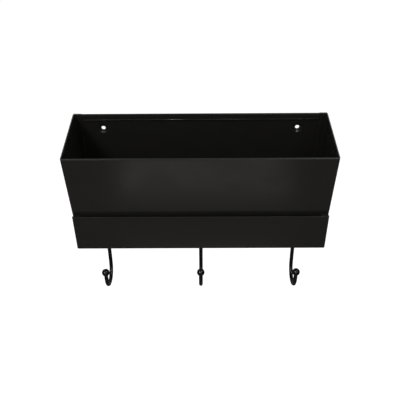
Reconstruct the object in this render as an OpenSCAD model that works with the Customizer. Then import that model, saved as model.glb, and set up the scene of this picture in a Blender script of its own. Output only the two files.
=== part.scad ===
// Wall mail organizer: a folded sheet-steel pocket with a lower front band and three ball-ended hooks.
// Millimetres. X runs to the right, Y goes into the wall and Z up.
// The wall is the plane Y = 0, and the origin is the middle between the two screw holes.

/* [Pocket] */
// Width over the two side walls
body_w = 300; // [240:1:420]
// Height of the back wall
body_h = 138; // [120:1:180]
// Distance from the wall to the front face at the rim
rim_depth = 94.2; // [86:0.1:120]
// Lean of the front wall from upright, in degrees
lean = 7.775; // [5:0.025:10]

/* [Sheet] */
// Thickness of the steel sheet
sheet_t = 1; // [0.7:0.1:1.3]
// Outside radius of the bends
bend_r = 2; // [1.6:0.1:3]
// Width of the closed hems
hem_h = 8.5; // [6:0.5:9.5]
// Gap inside a closed hem
hem_gap = 0.1; // [0.05:0.05:0.4]
// Width of the flanges that lap on a neighbouring sheet
flange_w = 9; // [6:0.5:14]
// Clearance where one fold ends beside another
end_gap = 0.5; // [0.3:0.1:1]

/* [Screw holes] */
// Distance from a side wall's outside to the hole centre
hole_inset = 34; // [25:0.1:60]
// Height of the back wall above the hole centres
hole_drop = 20.2; // [17:0.1:30]
// Diameter of the screw holes
hole_d = 5; // [4:0.1:6]
// Diameter of the flat ring round a hole
ring_d = 8; // [7:0.1:10]
// Diameter of a dimple at the front of the sheet
dimple_d = 13; // [12:0.1:16]
// Depth of a dimple, which holds the sheet off the wall
dimple_depth = 1.3; // [0.8:0.1:2]

/* [Front band] */
// Height of the band
band_h = 50; // [38:0.5:60]
// Width of the slot at its mouth
slot_mouth = 3.8; // [2.5:0.1:6]
// Least distance from the band's top edge to the top of its end returns
return_drop = 1.5; // [1:0.5:8]

/* [Hooks] */
// Distance from a side wall's outside to the outer hooks
hook_inset = 38.5; // [25:0.5:70]
// Diameter of the hook wire
wire_d = 4.5; // [3:0.1:5.2]
// Depth of the flat on the shank, which lies on the band
shank_flat = 0.3; // [0.2:0.05:0.6]
// Length of the shank behind the band
shank_len = 25; // [15:1:30]
// Straight length below the band
drop_len = 1; // [1:0.5:10]
// Radius of the gentle sweep below the band
sweep_r = 150; // [80:5:250]
// Lean of the wire at the end of the gentle sweep, in degrees
sweep_angle = 10; // [5:1:20]
// Radius of the tight bend at the back of the hook
heel_r = 13.5; // [8:0.5:20]
// Radius of the wide bend at the front of the hook
toe_r = 24.5; // [15:0.5:35]
// Lean of the front end back towards the wall, in degrees
tip_angle = 4; // [1:1:12]
// Straight length from the front bend to the middle of the ball
tip_len = 8.1; // [6:0.1:15]
// Diameter of the ball
ball_d = 9; // [7:0.1:14]
// Length of wire past the middle of the ball
socket_depth = 1; // [0.5:0.1:1.5]
// Clearance round the wire inside the ball
socket_gap = 0.05; // [0.03:0.01:0.1]

/* [Hidden] */
$fn = 64;
sheet_paint = [0.13, 0.13, 0.125];
wire_paint = [0.09, 0.09, 0.09];

// Overall places
half_w = body_w / 2;
top_z = hole_drop;
foot_z = top_z - body_h;

// Sheet: inside radius of a bend, thickness and fold radius of a closed hem
bend_in = bend_r - sheet_t;
hem_t = 2 * sheet_t + hem_gap;
fold_r = hem_t / 2;

// Back wall, which the dimples hold off the wall
back_rear_y = -dimple_depth;
back_front_y = back_rear_y - sheet_t;
back_half_w = half_w - end_gap;
back_hem_half_w = half_w - flange_w - end_gap;
hole_x = half_w - hole_inset;

// Front wall: its outer face at height z
function front_y(z) = -rim_depth + (top_z - z) * tan(lean);
rim_hem_half_w = half_w - bend_r - end_gap;

// Side walls run straight from the leaning front to the start of their rear bend
side_rear_y = back_front_y - bend_r;
side_inner_x = half_w - sheet_t;

// Bottom pan, folded up inside the side walls and the front wall
pan_bend_z = foot_z + bend_r;
pan_bend_x = side_inner_x - bend_r;
pan_front_y = front_y(pan_bend_z) + (sheet_t + bend_r) / cos(lean);
pan_rear_y = back_rear_y - bend_r;

// Band: its planes, and the height at which the space behind it takes both bends of a return
band_top_z = foot_z + band_h;
band_rear_y = front_y(band_top_z) - slot_mouth;
band_front_y = band_rear_y - sheet_t;
bend_room = (2 * bend_r - slot_mouth - sheet_t) / tan(lean);
return_top_z = band_top_z - max(return_drop, bend_room);

// Hook wire, as distance in front of the shank's middle and height over the foot
wire_r = wire_d / 2;
wire_sides = 24;
bend_step = 8;
shank_y = band_rear_y + wire_r - shank_flat;
hook_x = half_w - hook_inset;
sweep_c = [sweep_r, -drop_len];
heel_c = sweep_c + (heel_r - sweep_r) * [cos(sweep_angle), sin(sweep_angle)];
toe_c = heel_c + [0, toe_r - heel_r];
tip_start = toe_c + toe_r * [cos(tip_angle), sin(tip_angle)];
tip_dir = [-sin(tip_angle), cos(tip_angle)];
ball_c = tip_start + tip_len * tip_dir;

// Stations of a bend about c, each as [forward, up, heading, flat]; heading 270 is straight down
function bend_stations(c, r, from, to) =
    let (steps = ceil((to - from) / bend_step))
    [for (i = [1 : steps]) let (a = from + (to - from) * i / steps) [
        c[0] + r * cos(a), c[1] + r * sin(a), a + 90, false
    ]];

// Stations from the top of the shank to the wire's end inside the ball
wire_stations = concat(
    [[0, shank_len, 270, true], [0, 0, 270, true]],
    [[0, -shank_flat, 270, false], [0, -drop_len, 270, false]],
    bend_stations(sweep_c, sweep_r, 180, 180 + sweep_angle),
    bend_stations(heel_c, heel_r, 180 + sweep_angle, 270),
    bend_stations(toe_c, toe_r, 270, 360 + tip_angle),
    [concat(ball_c + socket_depth * tip_dir, [90 + tip_angle, false])]
);

// Ring of points round the wire at one station; the flat faces forward, on the band
function wire_ring(s) = [
    for (i = [0 : wire_sides - 1])
    let (
        a = 360 * i / wire_sides,
        across = s[3] ? min(wire_r * cos(a), wire_r - shank_flat) : wire_r * cos(a)
    )
    [s[0] - across * sin(s[2]), s[1] + across * cos(s[2]), wire_r * sin(a)]
];

// Extrudes a (Y, Z) section along X
module along_x(x0, x1) {
    translate([x0, 0, 0]) rotate([90, 0, 90]) linear_extrude(x1 - x0) children();
}

// Extrudes an (X, Z) section forward along Y
module along_y(rear_y, near_y) {
    translate([0, rear_y, 0]) rotate([90, 0, 0]) linear_extrude(rear_y - near_y) children();
}

// Frame of the front wall: Z up the sheet, Y inward from its outer face, top edge at zero
module lean_frame() {
    translate([0, -rim_depth, top_z]) rotate([lean, 0, 0]) children();
}

// Rectangle between two opposite corners
module plate(low, high) {
    polygon([low, [high[0], low[1]], high, [low[0], high[1]]]);
}

// Both sides of the middle plane
module both_sides() {
    children();
    mirror([1, 0, 0]) children();
}

// Section of one bend, from straight down and through turn degrees towards +X
module bend_section(turn = 90) {
    room = 2 * bend_r;
    difference() {
        intersection() {
            circle(r = bend_r);
            translate([0, -room]) square(room);
            rotate(turn - 90) translate([0, -room]) square(room);
        }
        circle(r = bend_in);
    }
}

// Section of a closed hem and the sheet that carries it: X inward from the outer face, Y up from the top
module hem_section() {
    translate([fold_r, -fold_r]) difference() {
        intersection() {
            circle(r = fold_r);
            translate([-fold_r, 0]) square([hem_t, fold_r]);
        }
        circle(r = hem_gap / 2, $fn = 16);
    }
    plate([0, -hem_h], [sheet_t, -fold_r]);
    plate([hem_t - sheet_t, -hem_h], [hem_t, -fold_r]);
}

// Plan of a sheet with its outer face along Y = 0, bent back at both ends
module wrapped_plan() {
    plate([bend_r - half_w, 0], [half_w - bend_r, sheet_t]);
    both_sides() translate([half_w - bend_r, bend_r]) bend_section();
}

// Plan of the two lap flanges that lie against Y = 0, with their bends and the start of each leg
module lap_plan() {
    both_sides() {
        plate([half_w - flange_w, -sheet_t], [half_w - bend_r, 0]);
        translate([half_w - bend_r, -bend_r]) rotate(90) bend_section();
    }
    leg_plan(-2 * bend_r, -bend_r);
}

// Plan of the two legs between such bends, from Y = start to Y = end
module leg_plan(start, end) {
    both_sides() plate([side_inner_x, start], [half_w, end]);
}

// Sheet pressed towards the wall round one screw hole
module dimple() {
    rotate([90, 0, 0]) rotate_extrude() polygon([
        [hole_d / 2, 0],
        [ring_d / 2, 0],
        [dimple_d / 2, dimple_depth],
        [dimple_d / 2, dimple_depth + sheet_t],
        [ring_d / 2, sheet_t],
        [hole_d / 2, sheet_t]
    ]);
}

// Section of the flat parts of the back and the bottom
module back_section() {
    plate([back_front_y, pan_bend_z], [back_rear_y, top_z - fold_r]);
}

module bottom_section() {
    plate([pan_front_y, foot_z], [pan_rear_y, foot_z + sheet_t]);
}

// Section of the sheet where it is bent: back, rear bend, bottom and front flange
module folded_section() {
    back_section();
    bottom_section();
    translate([pan_rear_y, pan_bend_z]) bend_section();
    translate([pan_front_y, pan_bend_z]) mirror([1, 0]) {
        bend_section(90 - lean);
        rotate(-lean) plate([bend_in, 0], [bend_r, flange_w - bend_r]);
    }
}

// The folded sheet, wider where it is flat, and its top hem between two plain ends
module folded_sheet() {
    bent_half_w = pan_bend_x - end_gap;
    along_x(-bent_half_w, bent_half_w) folded_section();
    along_x(-back_half_w, back_half_w) back_section();
    along_x(-pan_bend_x, pan_bend_x) bottom_section();
    both_sides() along_x(back_hem_half_w, back_half_w)
        plate([back_front_y, pan_bend_z], [back_rear_y, top_z]);
    along_x(-back_hem_half_w, back_hem_half_w) translate([back_rear_y, top_z]) mirror([1, 0]) hem_section();
}

// Side flanges of the bottom, with the strip of the bottom that they are bent from
module side_flanges() {
    both_sides() along_y(side_rear_y - end_gap, pan_front_y + end_gap) {
        plate([pan_bend_x - flange_w, foot_z], [pan_bend_x, foot_z + sheet_t]);
        translate([pan_bend_x, pan_bend_z]) bend_section();
        plate([side_inner_x - sheet_t, pan_bend_z], [side_inner_x, foot_z + flange_w]);
    }
}

module back_and_bottom_panel() {
    color(sheet_paint) {
        difference() {
            folded_sheet();
            both_sides() translate([hole_x, 0, 0]) rotate([90, 0, 0])
                cylinder(d = dimple_d, h = dimple_depth + 2 * sheet_t);
        }
        both_sides() translate([hole_x, 0, 0]) dimple();
        side_flanges();
    }
}

// Front wall and side walls, bent from one sheet and cut level at the rim and the foot
module wrapped_walls() {
    front_room = rim_depth + bend_r;
    difference() {
        intersection() {
            lean_frame() translate([0, 0, -body_h - rim_depth]) linear_extrude(body_h + rim_depth + hem_t) {
                wrapped_plan();
                leg_plan(bend_r, body_h + rim_depth);
            }
            along_x(-body_w, body_w) translate([-front_room, foot_z])
                square([front_room + side_rear_y, body_h]);
        }
        lean_frame() translate([-rim_hem_half_w, -bend_r, -fold_r])
            cube([2 * rim_hem_half_w, 2 * bend_r, body_h]);
    }
}

module front_and_sides_wrap() {
    lap_foot_z = pan_bend_z + end_gap;
    color(sheet_paint) {
        wrapped_walls();
        lean_frame() along_x(-rim_hem_half_w, rim_hem_half_w) hem_section();
        translate([0, back_front_y, lap_foot_z]) linear_extrude(top_z - lap_foot_z) lap_plan();
    }
}

// End returns of the band: each runs back to the leaning front wall and laps flat on it
module band_returns() {
    intersection() {
        lean_frame() translate([0, 0, -body_h - rim_depth]) linear_extrude(body_h + rim_depth) {
            lap_plan();
            leg_plan(-rim_depth, -bend_r);
        }
        along_x(-body_w, body_w) translate([band_front_y + bend_r, foot_z])
            square([-band_front_y - bend_r, return_top_z - foot_z]);
    }
}

module front_band() {
    color(sheet_paint) {
        translate([0, band_front_y, foot_z]) linear_extrude(band_h) wrapped_plan();
        band_returns();
    }
}

// Frame of one hook: X forward from the shank's middle, Y up from the band's lower edge
module hook_frame(x) {
    translate([x, shank_y, foot_z]) rotate([90, 0, -90]) children();
}

// Frame of the ball, with Z along the wire
module ball_frame() {
    translate(ball_c) rotate([-90, 0, tip_angle]) children();
}

// Wire swept through all its stations, with a flat cap at each end
module swept_wire() {
    n = wire_sides;
    last = len(wire_stations) - 1;
    polyhedron(
        points = [for (s = wire_stations) each wire_ring(s)],
        faces = concat(
            [[for (i = [0 : n - 1]) i]],
            [for (r = [0 : last - 1], i = [0 : n - 1]) let (j = (i + 1) % n, k = r * n)
                [k + j, k + i, k + n + i, k + n + j]],
            [[for (i = [n - 1 : -1 : 0]) last * n + i]]
        )
    );
}

module hook_wire(x) {
    color(wire_paint) hook_frame(x) swept_wire();
}

module hook_ball(x) {
    color(wire_paint) hook_frame(x) ball_frame() difference() {
        sphere(d = ball_d);
        translate([0, 0, -ball_d]) cylinder(r = wire_r + socket_gap, h = ball_d + socket_depth);
    }
}

back_and_bottom_panel();
front_and_sides_wrap();
front_band();
hook_wire(-hook_x);  // hook_wire_left
hook_wire(0);  // hook_wire_middle
hook_wire(hook_x);  // hook_wire_right
hook_ball(-hook_x);  // hook_ball_left
hook_ball(0);  // hook_ball_middle
hook_ball(hook_x);  // hook_ball_right
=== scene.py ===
"""Wall mail organizer: finishes, smooth hooks, soft studio stage and camera."""
import math

import bmesh
import bpy
from bpy.props import FloatProperty, FloatVectorProperty, PointerProperty
from mathutils import Matrix, Vector


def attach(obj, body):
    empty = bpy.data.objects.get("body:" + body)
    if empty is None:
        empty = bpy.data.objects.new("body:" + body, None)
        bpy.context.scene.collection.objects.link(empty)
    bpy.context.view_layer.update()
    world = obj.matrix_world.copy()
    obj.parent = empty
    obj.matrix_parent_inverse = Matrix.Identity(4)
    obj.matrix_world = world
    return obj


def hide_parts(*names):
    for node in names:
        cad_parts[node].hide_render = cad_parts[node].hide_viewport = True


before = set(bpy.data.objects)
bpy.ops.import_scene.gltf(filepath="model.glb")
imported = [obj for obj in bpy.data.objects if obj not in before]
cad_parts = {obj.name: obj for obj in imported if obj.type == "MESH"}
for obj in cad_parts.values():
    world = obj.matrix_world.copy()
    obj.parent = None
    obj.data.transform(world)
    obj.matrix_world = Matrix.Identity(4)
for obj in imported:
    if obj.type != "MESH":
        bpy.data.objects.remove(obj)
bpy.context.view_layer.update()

bl_info = {
    "name": "Wall Mail Organizer",
    "version": (1, 0, 0),
    "blender": (4, 5, 0),
    "location": "View3D > Sidebar > Organizer",
    "description": "Finishes, hooks and stage for a sheet-steel wall mail organizer",
    "category": "Object",
}

SHEET_NODES = ("back_and_bottom_panel", "front_and_sides_wrap", "front_band")
HOOK_SIDES = ("left", "middle", "right")
MM = 0.001
WHITE = (1.0, 1.0, 1.0, 1.0)
SENSOR_WIDTH = 36.0

# Powder coat: widths of its sheen patches, smudges and rubbed spots, and how far its gloss varies
SHEEN_PATCH = 38 * MM
SHEEN_SMUDGE = 17 * MM
RUBBED_SPOT = 7 * MM
PATCH_SHARE = 0.65
SHEEN_SPREAD = 0.025
DARKEST_SHADE = 0.9
LEAST_WEAR = 0.35
WORN_ROUGHNESS = 0.12

# Turn of the rounded normal from the flat one, as cosines, over which an edge counts as rubbed
EDGE_TURN = (0.75, 0.98)

# Hook paint: width and height of its orange peel, width of its rubbed patches and their gloss
HOOK_PEEL = 1.4 * MM
HOOK_PEEL_HEIGHT = 0.003 * MM
HOOK_RUBBED = 6 * MM
HOOK_GLOSSIER = 0.03
HOOK_DULLER = 0.06

# Middle part of a noise that is spread over its whole range
NOISE_MIDDLE = (0.35, 0.65)
NOISE_WIDER = (0.3, 0.7)
PAINT_IOR = 1.5

# Smooth copies: gap under which corners are joined, and angle from which an edge stays sharp
JOIN_GAP = 0.0005 * MM
SHARP_ANGLE = math.radians(35)
BEAD_SIDES = 16

# Floor
FLOOR_COLOUR = (0.85, 0.85, 0.85, 1.0)
FLOOR_GLOW = 0.58
FLOOR_LOW = (-6, -6)
FLOOR_HIGH = (6, 9)

# Soft lamps: name, place, target and size in metres, power in watts, whether gloss mirrors them
LAMPS = (
    ("key_softbox", (-0.66, -0.96, 0.92), (0, -0.05, -0.03), (0.28, 0.28), 8.0, True),
    ("right_softbox", (0.72, -0.40, 1.30), (0, -0.05, -0.03), (0.5, 0.5), 4.2, True),
    ("top_softbox", (0.1, -0.4, 1.5), (0, -0.05, -0.05), (1.8, 1.2), 2.6, False),
    ("rear_softbox", (0.75, 1.3, 0.9), (0, -0.05, 0), (1.0, 0.6), 4.0, False),
)

# Studio that only reflections see: its walls, ceiling and floor cards, in metres
STUDIO_SIDE = 2.0
STUDIO_FRONT = -2.3
STUDIO_REAR = 1.3
STUDIO_FOOT = -1.3
STUDIO_TOP = 1.7
CEILING_FRONT = -2.2
FLOOR_CARD_SIDE = 2.5
FLOOR_CARD_FRONT = -2.6
FLOOR_CARD_MIDDLE = -0.3
FLOOR_CARD_REAR = 3.0
CARD_LIFT = 0.01
FILL_LOW = (-0.2, -2.25, 0.7)
FILL_HIGH = (0.9, -2.25, 1.65)

# Glow of its cards: where each fades, in metres, and its least and most
DARK_CARD = 0.08
POOL_COLOUR = (1.0, 0.95, 0.88, 1.0)
POOL_SIDE = (0.29, 0.36)
POOL_NEAR = (-1.10, -1.00)
POOL_FAR = (-1.42, -1.32)
POOL_GLOW = (0.075, 0.40)
FRONT_SIDEWAYS = (-0.9, 0.5)
FRONT_UPWARD = (-0.3, 0.3)
FRONT_GLOW = (0.10, 0.90)
FILL_SIDEWAYS = (-0.2, 0.5)
FILL_GLOW = (0.1, 3.0)
REAR_SIDEWAYS = (0.15, 0.40)
REAR_MIDDLE_SHARE = 0.5
REAR_UPWARD = (0.30, 0.45)
REAR_GLOW = (0.08, 1.6)


# Settings

class SheetPaintSettings(bpy.types.PropertyGroup):
    """Black powder coat on the folded sheets."""

    colour: FloatVectorProperty(
        name="Colour",
        description="Base colour of the powder coat",
        subtype="COLOR",
        size=3,
        min=0.0,
        max=1.0,
        default=(0.0135, 0.0133, 0.0120),
    )
    worn_colour: FloatVectorProperty(
        name="Worn colour",
        description="Colour of the thin, rubbed paint along the sheets' edges",
        subtype="COLOR",
        size=3,
        min=0.0,
        max=1.0,
        default=(0.050, 0.048, 0.044),
    )
    roughness: FloatProperty(
        name="Roughness",
        description="Mean roughness of the powder coat",
        subtype="FACTOR",
        min=0.0,
        max=1.0,
        default=0.14,
    )
    peel: FloatProperty(
        name="Orange peel",
        description="Width of one bump of the powder coat's orange peel",
        subtype="DISTANCE",
        unit="LENGTH",
        min=0.0001,
        max=0.01,
        default=2.2 * MM,
    )
    peel_height: FloatProperty(
        name="Orange peel height",
        description="Height of the powder coat's orange peel",
        subtype="DISTANCE",
        unit="LENGTH",
        min=0.0,
        max=0.001,
        default=0.003 * MM,
    )
    edge_round: FloatProperty(
        name="Edge rounding",
        description="Radius that the paint gives to the sheets' cut edges",
        subtype="DISTANCE",
        unit="LENGTH",
        min=0.0,
        max=0.002,
        default=0.5 * MM,
    )


class HemBeadSettings(bpy.types.PropertyGroup):
    """Bead of paint along the lower edge of the back wall's hem."""

    place: FloatVectorProperty(
        name="Place",
        description="Middle of the bead, half sunk in the front of the hem",
        subtype="TRANSLATION",
        unit="LENGTH",
        size=3,
        default=(0.0, -3.4 * MM, 12.6 * MM),
    )
    length: FloatProperty(
        name="Length",
        description="Length of the bead, which ends just short of the hem",
        subtype="DISTANCE",
        unit="LENGTH",
        min=0.01,
        max=0.5,
        default=280.6 * MM,
    )
    radius: FloatProperty(
        name="Radius",
        description="Radius of the bead",
        subtype="DISTANCE",
        unit="LENGTH",
        min=0.0001,
        max=0.001,
        default=0.5 * MM,
    )


class HookPaintSettings(bpy.types.PropertyGroup):
    """Semi-gloss paint on the wire hooks and their balls."""

    colour: FloatVectorProperty(
        name="Colour",
        description="Base colour of the hook paint",
        subtype="COLOR",
        size=3,
        min=0.0,
        max=1.0,
        default=(0.0022, 0.0021, 0.0020),
    )
    roughness: FloatProperty(
        name="Roughness",
        description="Mean roughness of the hook paint",
        subtype="FACTOR",
        min=0.0,
        max=1.0,
        default=0.14,
    )


class StageSettings(bpy.types.PropertyGroup):
    """Floor, lights and camera."""

    floor_drop: FloatProperty(
        name="Floor drop",
        description="Height of the screw holes above the floor",
        subtype="DISTANCE",
        unit="LENGTH",
        min=0.3,
        max=3.0,
        default=1.4,
    )
    ambient: FloatProperty(
        name="Ambient light",
        description="Strength of the even light from all round",
        min=0.0,
        max=2.0,
        default=0.50,
    )
    camera_place: FloatVectorProperty(
        name="Camera place",
        description="Where the camera stands",
        subtype="TRANSLATION",
        unit="LENGTH",
        size=3,
        default=(5.1 * MM, -648.0 * MM, 421.4 * MM),
    )
    camera_yaw: FloatProperty(
        name="Camera yaw",
        description="Turn of the camera to the right",
        subtype="ANGLE",
        default=math.radians(-0.557),
    )
    camera_pitch: FloatProperty(
        name="Camera pitch",
        description="How far the camera looks down",
        subtype="ANGLE",
        default=math.radians(39.554),
    )
    camera_roll: FloatProperty(
        name="Camera roll",
        description="Turn of the camera about its own axis",
        subtype="ANGLE",
        default=math.radians(-0.603),
    )
    camera_lens: FloatProperty(
        name="Camera lens",
        description="Focal length on a 36 mm wide sensor, in millimetres",
        min=20.0,
        max=200.0,
        default=57.61,
    )


# Materials

class NodeTree:
    """Short way to add and join the nodes of one material or world."""

    def __init__(self, owner):
        owner.use_nodes = True
        self.tree = owner.node_tree
        self.tree.nodes.clear()

    def add(self, kind, inputs=None, **settings):
        """Adds a node, sets its properties, and sets or links its inputs by name or number."""
        node = self.tree.nodes.new(kind)
        for key, value in settings.items():
            setattr(node, key, value)
        for key, value in (inputs or {}).items():
            if isinstance(value, bpy.types.NodeSocket):
                self.tree.links.new(value, node.inputs[key])
            else:
                node.inputs[key].default_value = value
        return node

    def noise(self, coords, size, detail=2.0, rough=0.5):
        """Noise with features of about the given size in metres."""
        node = self.add(
            "ShaderNodeTexNoise",
            {"Vector": coords, "Scale": 1.0 / size, "Detail": detail, "Roughness": rough},
        )
        return node.outputs["Fac"]

    def spread(self, value, low, high, from_low=0.0, from_high=1.0):
        """Maps a value from one range to another."""
        node = self.add(
            "ShaderNodeMapRange",
            {"Value": value, "From Min": from_low, "From Max": from_high,
             "To Min": low, "To Max": high},
        )
        return node.outputs["Result"]

    def math(self, operation, a, b=0.0):
        """One Math node."""
        return self.add("ShaderNodeMath", {0: a, 1: b}, operation=operation).outputs[0]

    def object_coords(self):
        """The piece's own coordinates."""
        return self.add("ShaderNodeTexCoord").outputs["Object"]


def powder_coat(settings):
    """Satin black powder coat: orange peel, soft sheen patches and thin paint along the edges."""
    material = bpy.data.materials.new("black_powder_coat")
    tree = NodeTree(material)
    coords = tree.object_coords()
    rounded = tree.add("ShaderNodeBevel", {"Radius": settings.edge_round}, samples=8)
    flat = tree.add("ShaderNodeNewGeometry")
    turn = tree.add(
        "ShaderNodeVectorMath",
        {0: rounded.outputs["Normal"], 1: flat.outputs["True Normal"]},
        operation="DOT_PRODUCT",
    )
    edge = tree.spread(turn.outputs["Value"], 1.0, 0.0, *EDGE_TURN)
    spots = tree.noise(coords, RUBBED_SPOT, detail=3.0)
    rubbing = tree.spread(spots, LEAST_WEAR, 1.0, *NOISE_MIDDLE)
    wear = tree.math("MULTIPLY", edge, rubbing)
    patches = tree.math("MULTIPLY", tree.noise(coords, SHEEN_PATCH, rough=0.45), PATCH_SHARE)
    smudges = tree.math("MULTIPLY", tree.noise(coords, SHEEN_SMUDGE), 1.0 - PATCH_SHARE)
    sheen = tree.math("ADD", patches, smudges)
    glossiest = settings.roughness - SHEEN_SPREAD
    dullest = settings.roughness + SHEEN_SPREAD
    rough = tree.spread(sheen, glossiest, dullest, *NOISE_MIDDLE)
    shade = tree.spread(sheen, 1.0, DARKEST_SHADE, *NOISE_MIDDLE)
    clean = tree.add(
        "ShaderNodeVectorMath", {0: settings.colour, "Scale": shade}, operation="SCALE"
    )
    colour = tree.add(
        "ShaderNodeMix",
        {0: wear, 6: clean.outputs[0], 7: (*settings.worn_colour, 1.0)},
        data_type="RGBA",
    )
    peel = tree.noise(coords, settings.peel, detail=1.0)
    bump = tree.add(
        "ShaderNodeBump",
        {"Strength": 1.0, "Distance": settings.peel_height, "Height": peel,
         "Normal": rounded.outputs["Normal"]},
    )
    shader = tree.add(
        "ShaderNodeBsdfPrincipled",
        {
            "Base Color": colour.outputs[2],
            "Roughness": tree.math("ADD", rough, tree.math("MULTIPLY", wear, WORN_ROUGHNESS)),
            "IOR": PAINT_IOR,
            "Normal": bump.outputs["Normal"],
        },
    )
    tree.add("ShaderNodeOutputMaterial", {"Surface": shader.outputs["BSDF"]})
    return material


def hook_paint(settings):
    """Semi-gloss black paint on wire, with faint orange peel and rubbed patches."""
    material = bpy.data.materials.new("black_hook_paint")
    tree = NodeTree(material)
    coords = tree.object_coords()
    peel = tree.noise(coords, HOOK_PEEL, detail=1.0)
    rubbed = tree.noise(coords, HOOK_RUBBED)
    glossiest = settings.roughness - HOOK_GLOSSIER
    dullest = settings.roughness + HOOK_DULLER
    rough = tree.spread(rubbed, glossiest, dullest, *NOISE_WIDER)
    bump = tree.add(
        "ShaderNodeBump", {"Strength": 1.0, "Distance": HOOK_PEEL_HEIGHT, "Height": peel}
    )
    shader = tree.add(
        "ShaderNodeBsdfPrincipled",
        {
            "Base Color": (*settings.colour, 1.0),
            "Roughness": rough,
            "IOR": PAINT_IOR,
            "Normal": bump.outputs["Normal"],
        },
    )
    tree.add("ShaderNodeOutputMaterial", {"Surface": shader.outputs["BSDF"]})
    return material


def give_material(piece, material):
    """Puts one material in every slot of a piece."""
    if not piece.material_slots:
        piece.data.materials.append(material)
    for slot in piece.material_slots:
        slot.material = material


# Pieces

def smooth_copy(node, name):
    """A copy of a CAD node with its triangles joined and its round faces shaded smooth."""
    mesh = bpy.data.meshes.new(name)
    bm = bmesh.new()
    bm.from_mesh(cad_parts[node].data)
    bmesh.ops.remove_doubles(bm, verts=bm.verts, dist=JOIN_GAP)
    for face in bm.faces:
        face.smooth = True
    for edge in bm.edges:
        edge.smooth = edge.calc_face_angle(0.0) < SHARP_ANGLE
    bm.to_mesh(mesh)
    bm.free()
    piece = bpy.data.objects.new(name, mesh)
    bpy.context.scene.collection.objects.link(piece)
    return piece


class ORGANIZER_OT_sheets(bpy.types.Operator):
    """Gives the three folded sheets their powder coat"""

    bl_idname = "organizer.sheets"
    bl_label = "Powder-coat the sheets"

    def execute(self, context):
        paint = powder_coat(context.scene.organizer_sheet_paint)
        for name in SHEET_NODES:
            give_material(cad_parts[name], paint)
        return {"FINISHED"}


class ORGANIZER_OT_hem_bead(bpy.types.Operator):
    """Adds the thick bead of paint along the lower edge of the back wall's hem"""

    bl_idname = "organizer.hem_bead"
    bl_label = "Add the hem's bead"

    def execute(self, context):
        settings = context.scene.organizer_hem_bead
        radius = settings.radius
        mesh = bpy.data.meshes.new("hem_bead")
        bm = bmesh.new()
        bmesh.ops.create_cone(
            bm,
            cap_ends=True,
            segments=BEAD_SIDES,
            radius1=radius,
            radius2=radius,
            depth=settings.length,
        )
        bmesh.ops.rotate(bm, matrix=Matrix.Rotation(math.pi / 2, 3, "Y"), verts=bm.verts)
        bmesh.ops.translate(bm, vec=settings.place, verts=bm.verts)
        for face in bm.faces:
            face.smooth = len(face.verts) == 4
        bm.to_mesh(mesh)
        bm.free()
        bead = bpy.data.objects.new("hem_bead", mesh)
        context.scene.collection.objects.link(bead)
        give_material(bead, bpy.data.materials["black_powder_coat"])
        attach(bead, "root")
        return {"FINISHED"}


class ORGANIZER_OT_hooks(bpy.types.Operator):
    """Makes the hooks and their balls smooth and gives them a semi-gloss paint"""

    bl_idname = "organizer.hooks"
    bl_label = "Smooth and paint the hooks"

    def execute(self, context):
        paint = hook_paint(context.scene.organizer_hook_paint)
        for side in HOOK_SIDES:
            for part in ("hook_wire_", "hook_ball_"):
                piece = smooth_copy(part + side, "smooth_" + part + side)
                give_material(piece, paint)
                piece.visible_glossy = False
                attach(piece, "root")
                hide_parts(part + side)
        return {"FINISHED"}


# Stage

def add_area_light(name, place, target, size, power, mirrored):
    """A soft area light at a place, turned to a target."""
    data = bpy.data.lights.new(name, "AREA")
    data.shape = "RECTANGLE"
    data.size, data.size_y = size
    data.energy = power
    light = bpy.data.objects.new(name, data)
    bpy.context.scene.collection.objects.link(light)
    place, target = Vector(place), Vector(target)
    light.location = place
    light.rotation_euler = (target - place).to_track_quat("-Z", "Y").to_euler()
    light.visible_camera = False
    light.visible_glossy = mirrored


def seen_directly(tree):
    """1 for a ray from the camera, from a reflection or through glass, and otherwise 0."""
    path = tree.add("ShaderNodeLightPath")
    seen = tree.math("MAXIMUM", path.outputs["Is Camera Ray"], path.outputs["Is Glossy Ray"])
    return tree.math("MAXIMUM", seen, path.outputs["Is Transmission Ray"])


def add_plane(name, low, high, material):
    """A flat rectangle between two opposite corners that share their X, Y or Z."""
    low, high = Vector(low), Vector(high)
    size, middle = high - low, (low + high) / 2
    mesh = bpy.data.meshes.new(name)
    bm = bmesh.new()
    bmesh.ops.create_grid(bm, x_segments=1, y_segments=1, size=0.5)
    if size.x == 0:
        bmesh.ops.rotate(bm, matrix=Matrix.Rotation(math.pi / 2, 3, "Y"), verts=bm.verts)
    elif size.y == 0:
        bmesh.ops.rotate(bm, matrix=Matrix.Rotation(math.pi / 2, 3, "X"), verts=bm.verts)
    bmesh.ops.scale(bm, vec=[side or 1.0 for side in size], verts=bm.verts)
    bmesh.ops.translate(bm, vec=middle, verts=bm.verts)
    bm.to_mesh(mesh)
    bm.free()
    plane = bpy.data.objects.new(name, mesh)
    bpy.context.scene.collection.objects.link(plane)
    give_material(plane, material)
    return plane


def glowing(name, brightness, colour=WHITE):
    """A material that only glows; brightness is a function of the tree and the place."""
    material = bpy.data.materials.new(name)
    tree = NodeTree(material)
    place = tree.add("ShaderNodeSeparateXYZ", {0: tree.object_coords()})
    strength = brightness(tree, *place.outputs)
    glow = tree.add("ShaderNodeEmission", {"Color": colour, "Strength": strength})
    tree.add("ShaderNodeOutputMaterial", {"Surface": glow.outputs[0]})
    return material


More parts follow.
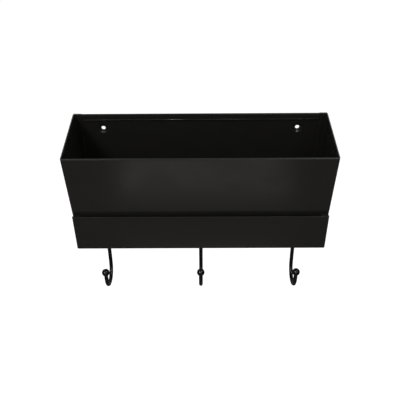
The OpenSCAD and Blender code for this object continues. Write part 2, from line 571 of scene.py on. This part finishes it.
def floor_pool(tree, x, y, z):
    """The lit patch of floor that the leaning front mirrors, dimmer all round it."""
    sideways = tree.spread(tree.math("ABSOLUTE", x), 1.0, 0.0, *POOL_SIDE)
    near = tree.spread(y, 1.0, 0.0, *POOL_NEAR)
    far = tree.spread(y, 0.0, 1.0, *POOL_FAR)
    pool = tree.math("MULTIPLY", sideways, tree.math("MULTIPLY", near, far))
    return tree.spread(pool, *POOL_GLOW)


def front_glow(tree, x, y, z):
    """Bright at the upper left, and dim at the right and below."""
    sideways = tree.spread(x, 1.0, 0.0, *FRONT_SIDEWAYS)
    upward = tree.spread(z, 0.0, 1.0, *FRONT_UPWARD)
    return tree.spread(tree.math("MULTIPLY", sideways, upward), *FRONT_GLOW)


def fill_glow(tree, x, y, z):
    """Brighter towards the right; it lights the rims and the dimples' lower slopes."""
    return tree.spread(x, *FILL_GLOW, *FILL_SIDEWAYS)


def rear_glow(tree, x, y, z):
    """Bright high up, where only the rim mirrors it, and dark below, where the hooks do."""
    sideways = tree.spread(tree.math("ABSOLUTE", x), REAR_MIDDLE_SHARE, 1.0, *REAR_SIDEWAYS)
    upward = tree.spread(z, 0.0, 1.0, *REAR_UPWARD)
    return tree.spread(tree.math("MULTIPLY", sideways, upward), *REAR_GLOW)


class ORGANIZER_OT_stage(bpy.types.Operator):
    """Makes the floor, the soft lights, the white surround and the camera"""

    bl_idname = "organizer.stage"
    bl_label = "Set the stage"

    def execute(self, context):
        settings = context.scene.organizer_stage
        self.make_world(settings)
        self.make_floor(settings)
        for lamp in LAMPS:
            add_area_light(*lamp)
        self.make_cards(settings)
        self.make_camera(settings)
        context.scene.view_settings.view_transform = "Standard"
        return {"FINISHED"}

    def make_world(self, settings):
        """White where it is seen, and an even, weaker light elsewhere."""
        world = bpy.data.worlds.new("white_surround")
        bpy.context.scene.world = world
        tree = NodeTree(world)
        ambient = tree.add("ShaderNodeBackground", {"Color": WHITE, "Strength": settings.ambient})
        white = tree.add("ShaderNodeBackground", {"Color": WHITE, "Strength": 1.0})
        mix = tree.add(
            "ShaderNodeMixShader",
            {0: seen_directly(tree), 1: ambient.outputs[0], 2: white.outputs[0]},
        )
        tree.add("ShaderNodeOutputWorld", {"Surface": mix.outputs[0]})

    def make_floor(self, settings):
        """A pale matt floor that glows where it is seen, so that it shows white."""
        material = bpy.data.materials.new("pale_floor")
        tree = NodeTree(material)
        matt = tree.add("ShaderNodeBsdfDiffuse", {"Color": FLOOR_COLOUR})
        seen = tree.math("MULTIPLY", seen_directly(tree), FLOOR_GLOW)
        glow = tree.add("ShaderNodeEmission", {"Color": WHITE, "Strength": seen})
        both = tree.add("ShaderNodeAddShader", {0: matt.outputs[0], 1: glow.outputs[0]})
        tree.add("ShaderNodeOutputMaterial", {"Surface": both.outputs[0]})
        floor = -settings.floor_drop
        add_plane("floor", (*FLOOR_LOW, floor), (*FLOOR_HIGH, floor), material)

    def make_cards(self, settings):
        """Glowing cards that only reflections see, as in a studio that is dark round its lamps;
        the front floor card glows as a painted pool of light.
        """
        floor = CARD_LIFT - settings.floor_drop
        pool = glowing("front_floor_card", floor_pool, POOL_COLOUR)
        dark = glowing("dark_cards", lambda tree, x, y, z: DARK_CARD)
        front_light = glowing("front_card", front_glow)
        fill_light = glowing("fill_card", fill_glow)
        rear_light = glowing("rear_card", rear_glow)
        side, front, rear = STUDIO_SIDE, STUDIO_FRONT, STUDIO_REAR
        foot, top = STUDIO_FOOT, STUDIO_TOP
        wide, middle = FLOOR_CARD_SIDE, FLOOR_CARD_MIDDLE
        for name, low, high, material in (
            ("front_floor_card", (-wide, FLOOR_CARD_FRONT, floor), (wide, middle, floor), pool),
            ("front_card", (-side, front, foot), (side, front, top), front_light),
            ("fill_card", FILL_LOW, FILL_HIGH, fill_light),
            ("ceiling_card", (-side, CEILING_FRONT, top), (side, rear, top), dark),
            ("left_card", (-side, front, foot), (-side, rear, top), dark),
            ("right_card", (side, front, foot), (side, rear, top), dark),
            ("rear_card", (-side, rear, foot), (side, rear, top), rear_light),
            ("rear_floor_card", (-wide, middle, floor), (wide, FLOOR_CARD_REAR, floor), dark),
        ):
            card = add_plane(name, low, high, material)
            card.visible_camera = False
            card.visible_diffuse = False
            card.visible_shadow = False

    def make_camera(self, settings):
        """The camera, placed as in the photograph."""
        data = bpy.data.cameras.new("camera")
        data.lens = settings.camera_lens
        data.sensor_width = SENSOR_WIDTH
        camera = bpy.data.objects.new("camera", data)
        bpy.context.scene.collection.objects.link(camera)
        turn = (
            Matrix.Rotation(-settings.camera_yaw, 4, "Z")
            @ Matrix.Rotation(math.pi / 2 - settings.camera_pitch, 4, "X")
            @ Matrix.Rotation(settings.camera_roll, 4, "Z")
        )
        camera.matrix_world = Matrix.Translation(settings.camera_place) @ turn
        bpy.context.scene.camera = camera


class ORGANIZER_PT_panel(bpy.types.Panel):
    """Lists the organizer's steps and settings"""

    bl_idname = "ORGANIZER_PT_panel"
    bl_label = "Wall Mail Organizer"
    bl_space_type = "VIEW_3D"
    bl_region_type = "UI"
    bl_category = "Organizer"

    def draw(self, context):
        scene = context.scene
        for title, settings, operator in (
            ("Sheets", scene.organizer_sheet_paint, ORGANIZER_OT_sheets),
            ("Hem", scene.organizer_hem_bead, ORGANIZER_OT_hem_bead),
            ("Hooks", scene.organizer_hook_paint, ORGANIZER_OT_hooks),
            ("Stage", scene.organizer_stage, ORGANIZER_OT_stage),
        ):
            box = self.layout.box()
            box.label(text=title)
            for name in settings.__annotations__:
                box.prop(settings, name)
            box.operator(operator.bl_idname)


CLASSES = (
    SheetPaintSettings,
    HemBeadSettings,
    HookPaintSettings,
    StageSettings,
    ORGANIZER_OT_sheets,
    ORGANIZER_OT_hem_bead,
    ORGANIZER_OT_hooks,
    ORGANIZER_OT_stage,
    ORGANIZER_PT_panel,
)


def register():
    for cls in CLASSES:
        bpy.utils.register_class(cls)
    scene = bpy.types.Scene
    scene.organizer_sheet_paint = PointerProperty(type=SheetPaintSettings)
    scene.organizer_hem_bead = PointerProperty(type=HemBeadSettings)
    scene.organizer_hook_paint = PointerProperty(type=HookPaintSettings)
    scene.organizer_stage = PointerProperty(type=StageSettings)


def unregister():
    scene = bpy.types.Scene
    del scene.organizer_stage
    del scene.organizer_hook_paint
    del scene.organizer_hem_bead
    del scene.organizer_sheet_paint
    for cls in reversed(CLASSES):
        bpy.utils.unregister_class(cls)


def main():
    register()
    bpy.ops.organizer.sheets()
    bpy.ops.organizer.hem_bead()
    bpy.ops.organizer.hooks()
    bpy.ops.organizer.stage()


if __name__ == "__main__":
    main()
